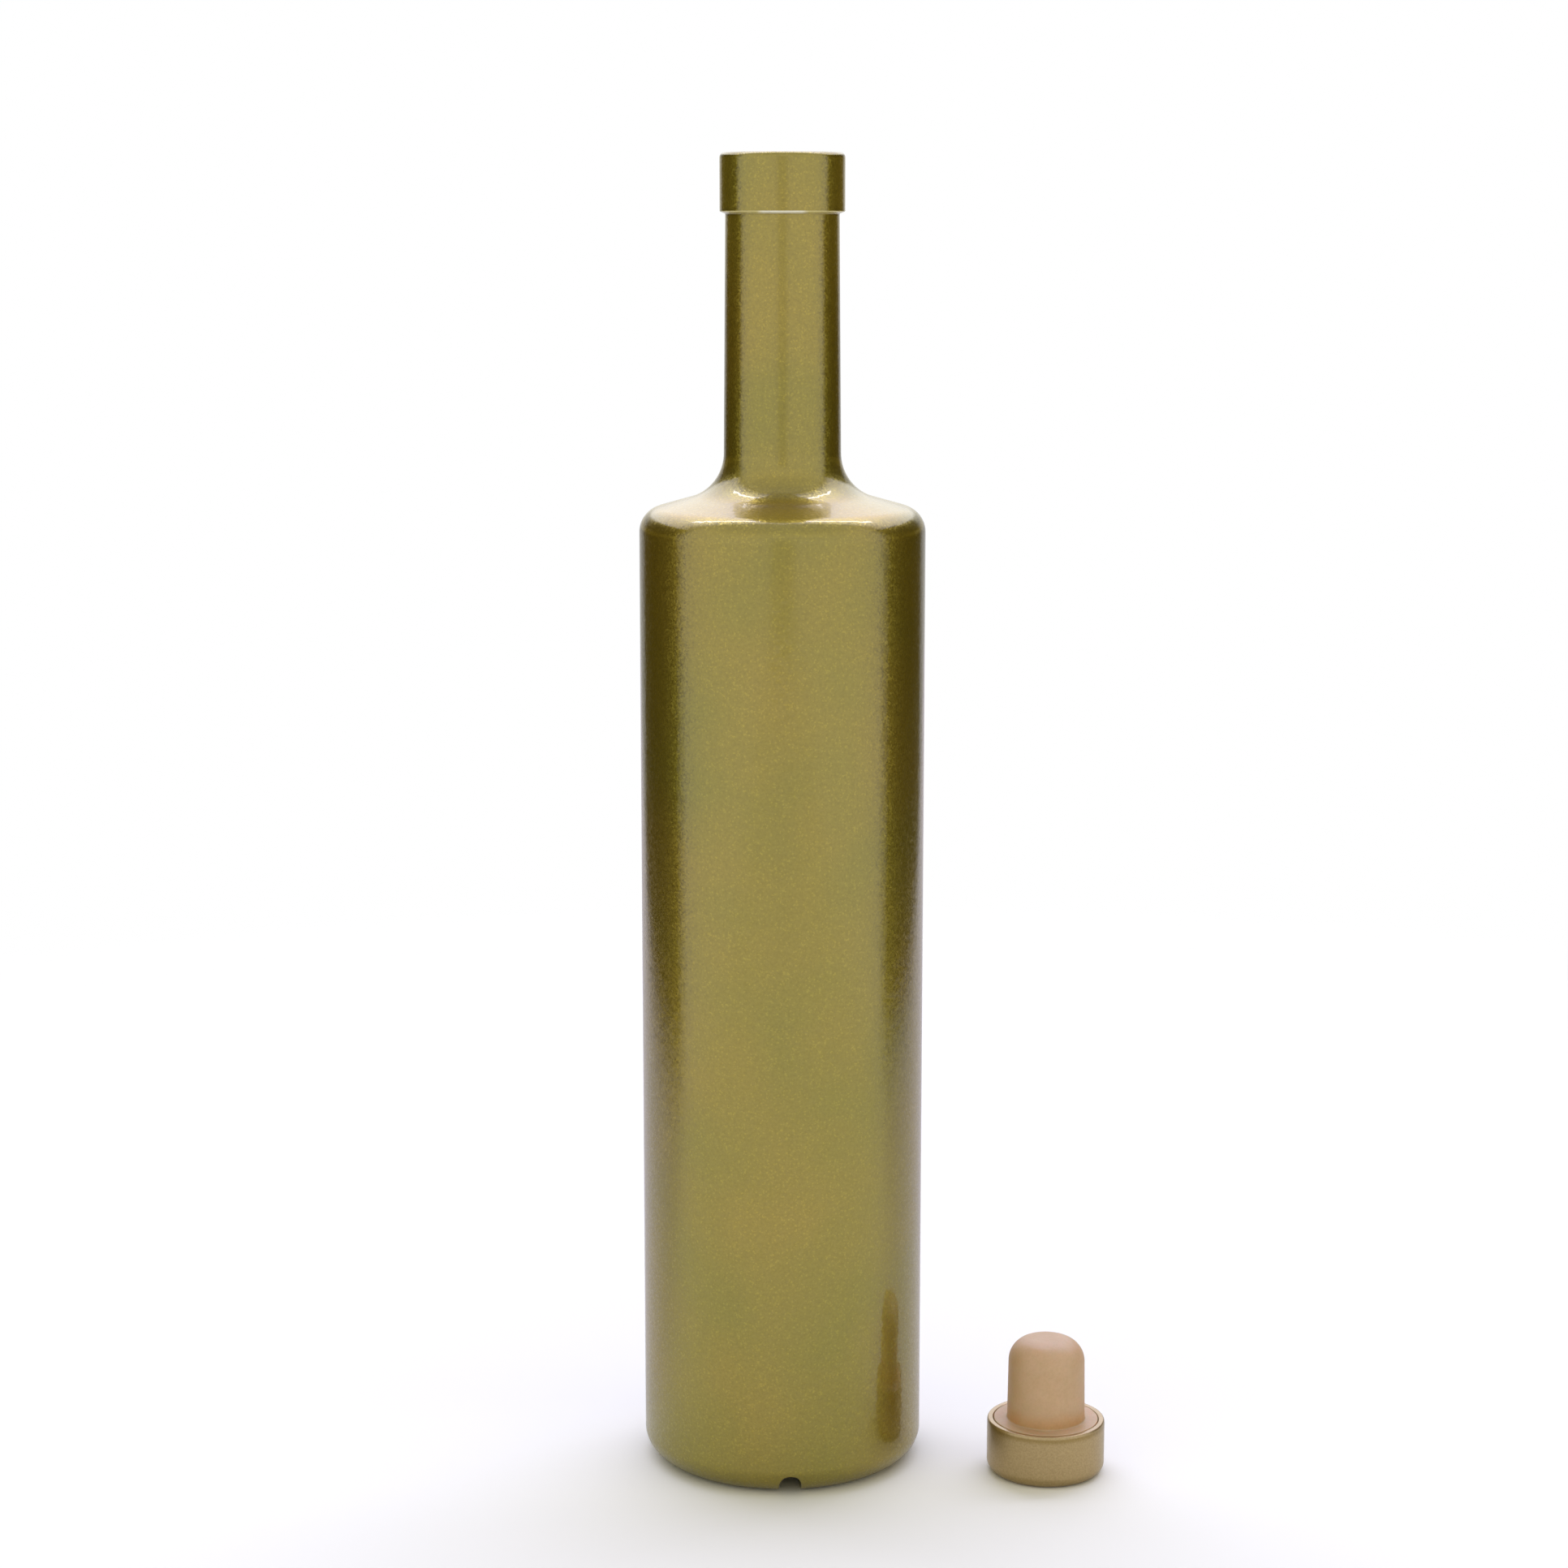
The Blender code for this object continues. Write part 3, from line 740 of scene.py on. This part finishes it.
def studio_world():
    """Soft studio light by direction: bright in front, dark at both sides, white behind and overhead.

    The angle round the object from the front goes through one ramp, with a duller stripe low in the middle
    of the front and a warm haze just above the horizon. The camera itself sees a plain pale backdrop.
    """
    world = bpy.data.worlds.new("studio")
    bpy.context.scene.world = world
    world.use_nodes = True
    tree = world.node_tree
    tree.nodes.clear()
    nodes = Nodes(tree)
    direction = (nodes.add("ShaderNodeTexCoord"), "Generated")
    parts = nodes.add("ShaderNodeSeparateXYZ", Vector=direction)
    around = angle_from_front(nodes, parts)
    ring = nodes.ramp(around, [
        (0.0, (0.88, 0.88, 0.88)),
        (0.468, (0.86, 0.86, 0.86)),
        (0.53, DARK_SIDE),
        (0.80, DARK_SIDE),
        (0.84, (0.35, 0.34, 0.33)),
        (1.0, (0.8, 0.8, 0.8)),
    ])
    stripe_side = nodes.fade(around, *STRIPE_SIDE_FADE)
    stripe_top = nodes.fade((parts, "Z"), *STRIPE_TOP_FADE)
    stripe = nodes.math("MULTIPLY", stripe_side, stripe_top)
    ring = nodes.mix(stripe, ring, MIDDLE_STRIPE, "MULTIPLY")
    level = nodes.math("MULTIPLY_ADD", (parts, "Z"), 0.5, 0.5)
    by_height = nodes.ramp(level, [
        (0.415, (0.60, 0.60, 0.60)),
        (0.445, (0.56, 0.56, 0.56)),
        (0.47, (0.56, 0.56, 0.56)),
        (0.495, (0.60, 0.60, 0.60)),
        (0.56, (0.60, 0.60, 0.60)),
        (0.72, (0.60, 0.595, 0.57)),
        (0.80, (0.66, 0.635, 0.55)),
        (0.88, (0.52, 0.51, 0.465)),
        (0.95, (0.47, 0.465, 0.44)),
    ])
    ring = nodes.mix(1.0, ring, by_height, "MULTIPLY")
    ring = nodes.vector("SCALE", ring, 1 / HORIZON_LEVEL)
    haze_foot = nodes.fade((parts, "Z"), *HAZE_FOOT_FADE)
    haze_top = nodes.fade((parts, "Z"), *HAZE_TOP_FADE)
    haze = nodes.vector("SCALE", WARM_HAZE, nodes.math("MULTIPLY", haze_foot, haze_top))
    ring = nodes.vector("ADD", ring, haze)
    light_path = nodes.add("ShaderNodeLightPath")
    seen = nodes.mix((light_path, "Is Camera Ray"), top_light(nodes, parts, ring), BACKDROP)
    background = nodes.add("ShaderNodeBackground", Color=seen, Strength=1.0)
    output = nodes.add("ShaderNodeOutputWorld")
    tree.links.new(background.outputs[0], output.inputs["Surface"])


def floor_material():
    """Pale matt floor: a long strip to the reflections, and a round patch that fades out to the camera."""
    material = bpy.data.materials.new("pale_floor")
    material.use_nodes = True
    tree = material.node_tree
    tree.nodes.clear()
    nodes = Nodes(tree)
    place = (nodes.add("ShaderNodeTexCoord"), "Object")
    parts = nodes.add("ShaderNodeSeparateXYZ", Vector=place)
    distance = nodes.vector("LENGTH", place)
    round_fade = nodes.fade((distance[0], "Value"), *FLOOR_ROUND_FADE)
    side_fade = nodes.fade(nodes.math("ABSOLUTE", (parts, "X")), *FLOOR_SIDE_FADE)
    light_path = nodes.add("ShaderNodeLightPath")
    by_camera = (light_path, "Is Camera Ray")
    fade = nodes.mix(by_camera, side_fade, round_fade)
    behind = nodes.math("SUBTRACT", (parts, "Y"), FLOOR_RAMP_START)
    reflected = nodes.ramp(behind, [(0.06, FLOOR_FRONT), (0.13, FLOOR_BESIDE), (0.3, FLOOR_BACK)])
    matt = nodes.add("ShaderNodeBsdfDiffuse", Color=nodes.mix(by_camera, reflected, FLOOR_SEEN))
    clear = nodes.add("ShaderNodeBsdfTransparent")
    mix = nodes.add("ShaderNodeMixShader", Fac=fade)
    tree.links.new(matt.outputs[0], mix.inputs[1])
    tree.links.new(clear.outputs[0], mix.inputs[2])
    output = nodes.add("ShaderNodeOutputMaterial")
    tree.links.new(mix.outputs[0], output.inputs["Surface"])
    return material


def make_floor():
    """A round pale floor, just under the object."""
    bpy.ops.mesh.primitive_circle_add(
        vertices=FLOOR_SIDES, radius=FLOOR_REACH, fill_type="NGON", location=(0, 0, 0))
    floor = bpy.context.object
    floor.name = "pale_floor"
    floor.data.materials.append(floor_material())


def make_camera():
    """The camera at the photograph's viewing angle, looking along +Y and a little down."""
    data = bpy.data.cameras.new("camera")
    data.lens = CAMERA_LENS
    data.sensor_width = SENSOR_WIDTH
    camera = bpy.data.objects.new("camera", data)
    camera.location = (BOTTLE_AXIS[0] + CAMERA_RIGHT, BOTTLE_AXIS[1] - CAMERA_BACK, CAMERA_HEIGHT)
    camera.rotation_euler = (math.pi / 2 - CAMERA_PITCH, 0.0, 0.0)
    bpy.context.scene.collection.objects.link(camera)
    bpy.context.scene.camera = camera


def dress(piece, node):
    """The piece stands for a CAD node: it goes under the root body, and the CAD node is hidden."""
    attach(piece, "root")
    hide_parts(node)


bpy.context.scene.view_settings.view_transform = "Standard"
make_camera()
studio_world()
make_floor()
dress(make_bottle(lacquer_material(), bare_glass_material()), "bottle")
dress(make_head(head_material()), "stopper_head")
dress(make_cork(cork_material()), "stopper_cork")
